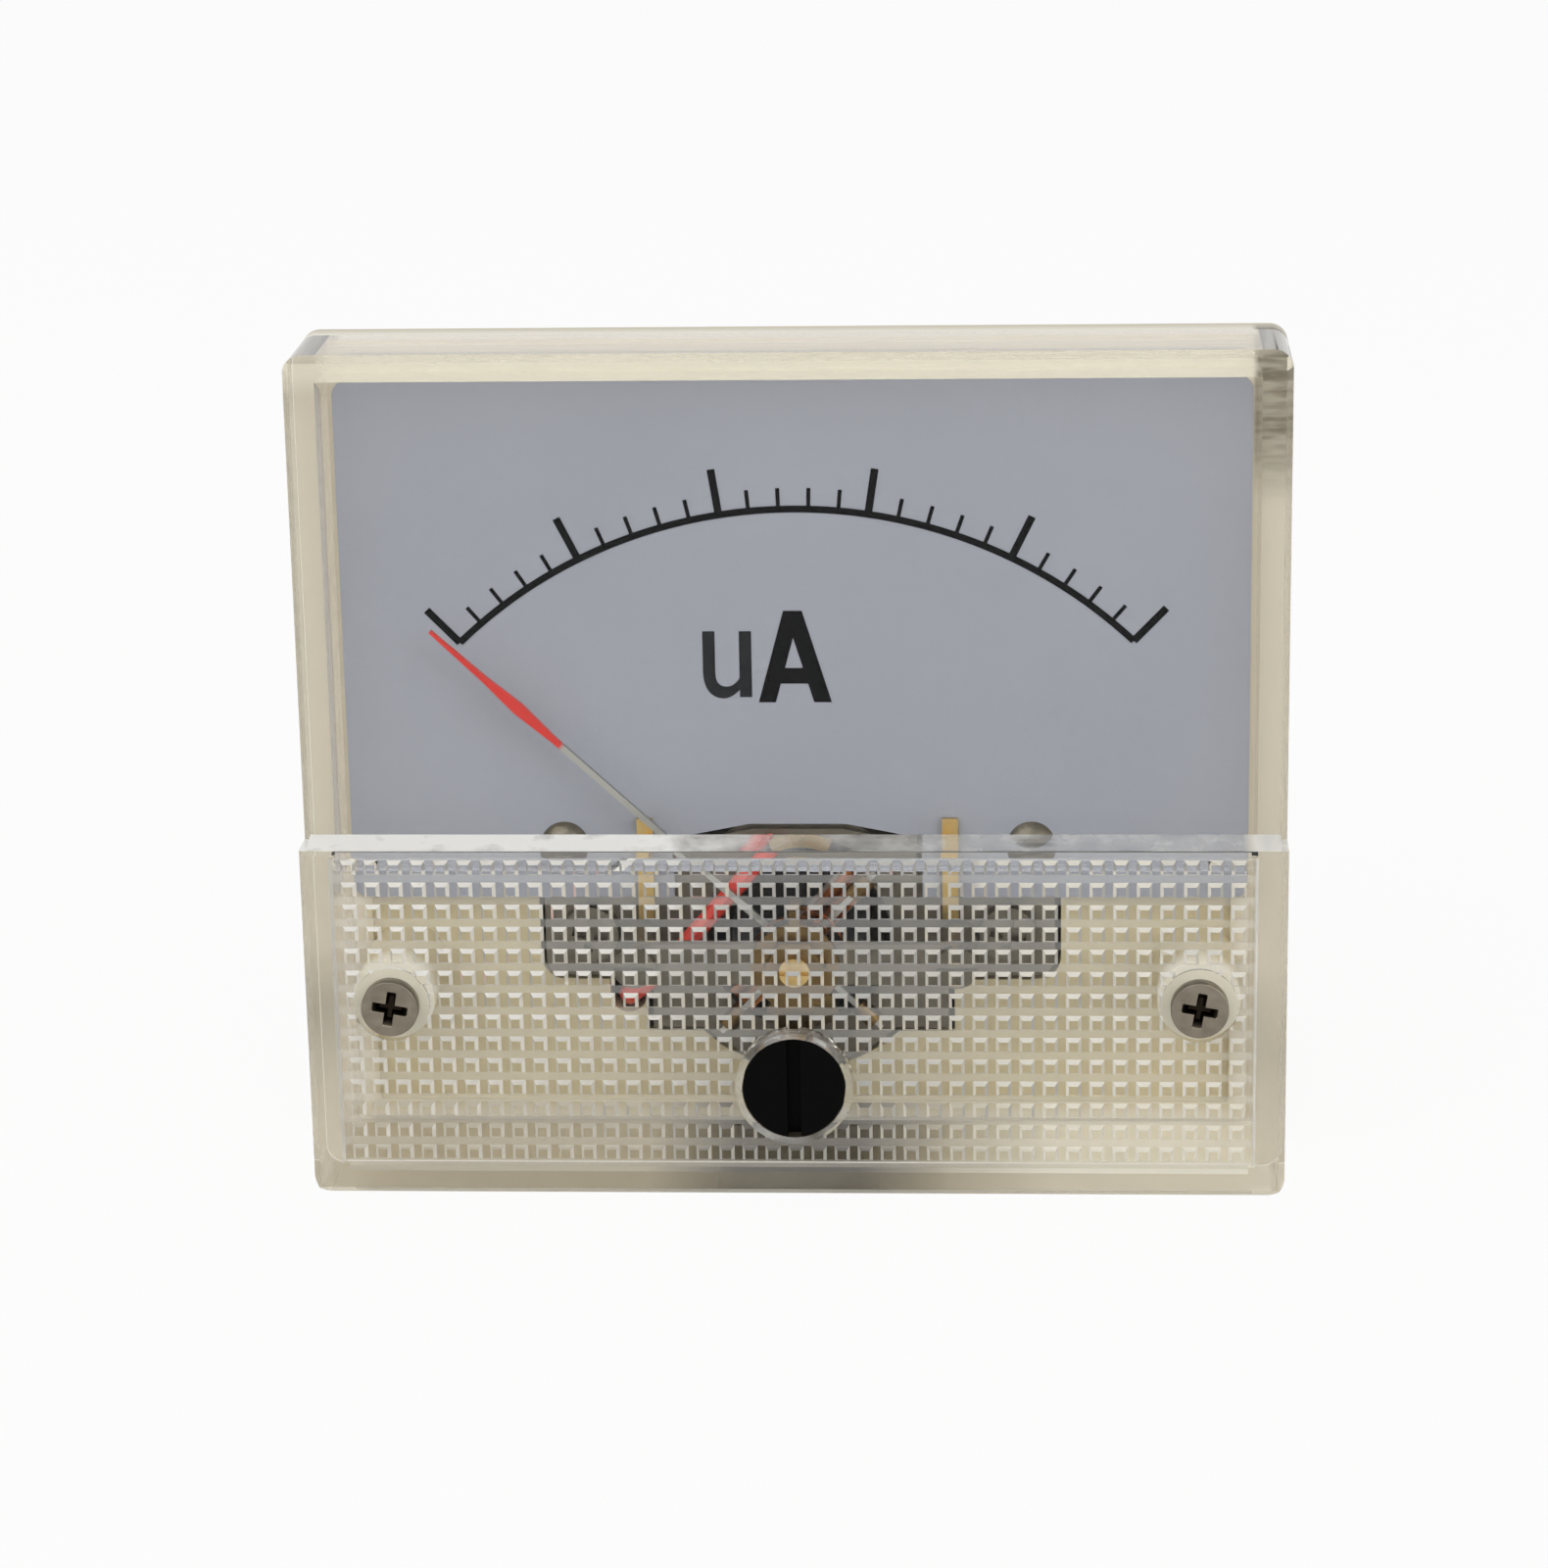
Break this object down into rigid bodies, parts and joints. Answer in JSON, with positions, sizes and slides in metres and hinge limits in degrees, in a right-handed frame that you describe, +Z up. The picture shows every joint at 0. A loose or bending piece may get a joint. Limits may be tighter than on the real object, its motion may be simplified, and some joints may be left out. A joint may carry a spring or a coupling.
{
  "type": "panel ammeter",
  "caption": "Panel-mounted moving-coil ammeter with a clear front cover, a pointer that swings over a printed scale, a slotted zero adjuster, a round rear body and threaded terminals.",
  "frame": {"origin": "on the axis of the round body, in the plane of the flange's back, which lies on the panel", "axes": "+X to the right seen from the front, +Y into the panel along the round body, +Z up the dial"},
  "size_m": [0.064, 0.0509, 0.0558],
  "materials": {
    "ivory_plastic": "satin moulded",
    "clear_plastic": "clear polished plastic",
    "plated_steel": "nickel plated",
    "black_plastic": "satin",
    "dial_paint": "matt paint",
    "cast_frame": "dull metal",
    "soft_iron": "dull",
    "magnet_alloy": "ground",
    "brass": "turned",
    "aluminium": "satin",
    "copper": "enamelled",
    "pointer_paint": "red paint",
    "red_insulation": "satin",
    "black_insulation": "satin"
  },
  "bodies": {
    "case": {"base": "ivory_plastic", "front_cover": "clear_plastic", "cover_screws": "plated_steel", "dial_plate": "dial_paint", "dial_screws": "plated_steel", "movement_frame": "cast_frame", "frame_screws": "plated_steel", "yoke_ring": "soft_iron", "core_magnet": "magnet_alloy", "core_spacers": "brass", "front_bridge": "aluminium", "rear_bridge": "aluminium", "bridge_screws": "plated_steel", "front_jewel_screw": "brass", "rear_jewel_screw": "brass", "lock_nuts": "brass", "rear_hairspring": "copper", "pointer_stops": "brass", "mounting_studs": "plated_steel", "terminal_studs": "brass", "terminal_washers": "plated_steel", "terminal_nuts": "plated_steel", "solder_lugs": "plated_steel", "red_lead": "red_insulation", "black_lead": "black_insulation"},
    "moving_coil": {"coil_former": "aluminium", "coil_winding": "copper", "pivot_shafts": "plated_steel", "pointer": "pointer_paint", "balance_weights": "brass"},
    "zero_adjuster": {"zero_adjuster": "black_plastic", "adjuster_clip": "plated_steel"},
    "zero_lever": {"zero_lever": "brass", "front_hairspring": "copper"}
  },
  "joints": [
    {"name": "pointer_swing", "type": "hinge", "parent": "case", "child": "moving_coil", "pos_m": [0, 0, -0.012], "axis": [0, 1, 0], "range_deg": [-3, 97], "stiffness_Nm_per_rad": 0.0001},
    {"name": "zero_turn", "type": "hinge", "parent": "case", "child": "zero_adjuster", "pos_m": [0, 0, -0.0191], "axis": [0, 1, 0], "range_deg": [-35, 35]},
    {"name": "lever_swing", "type": "hinge", "parent": "case", "child": "zero_lever", "pos_m": [0, 0, -0.012], "axis": [0, 1, 0], "range_deg": [-6, 6]}
  ],
  "couplings": [
    {"joint": "lever_swing", "follows": "zero_turn", "ratio": -0.155}
  ]
}
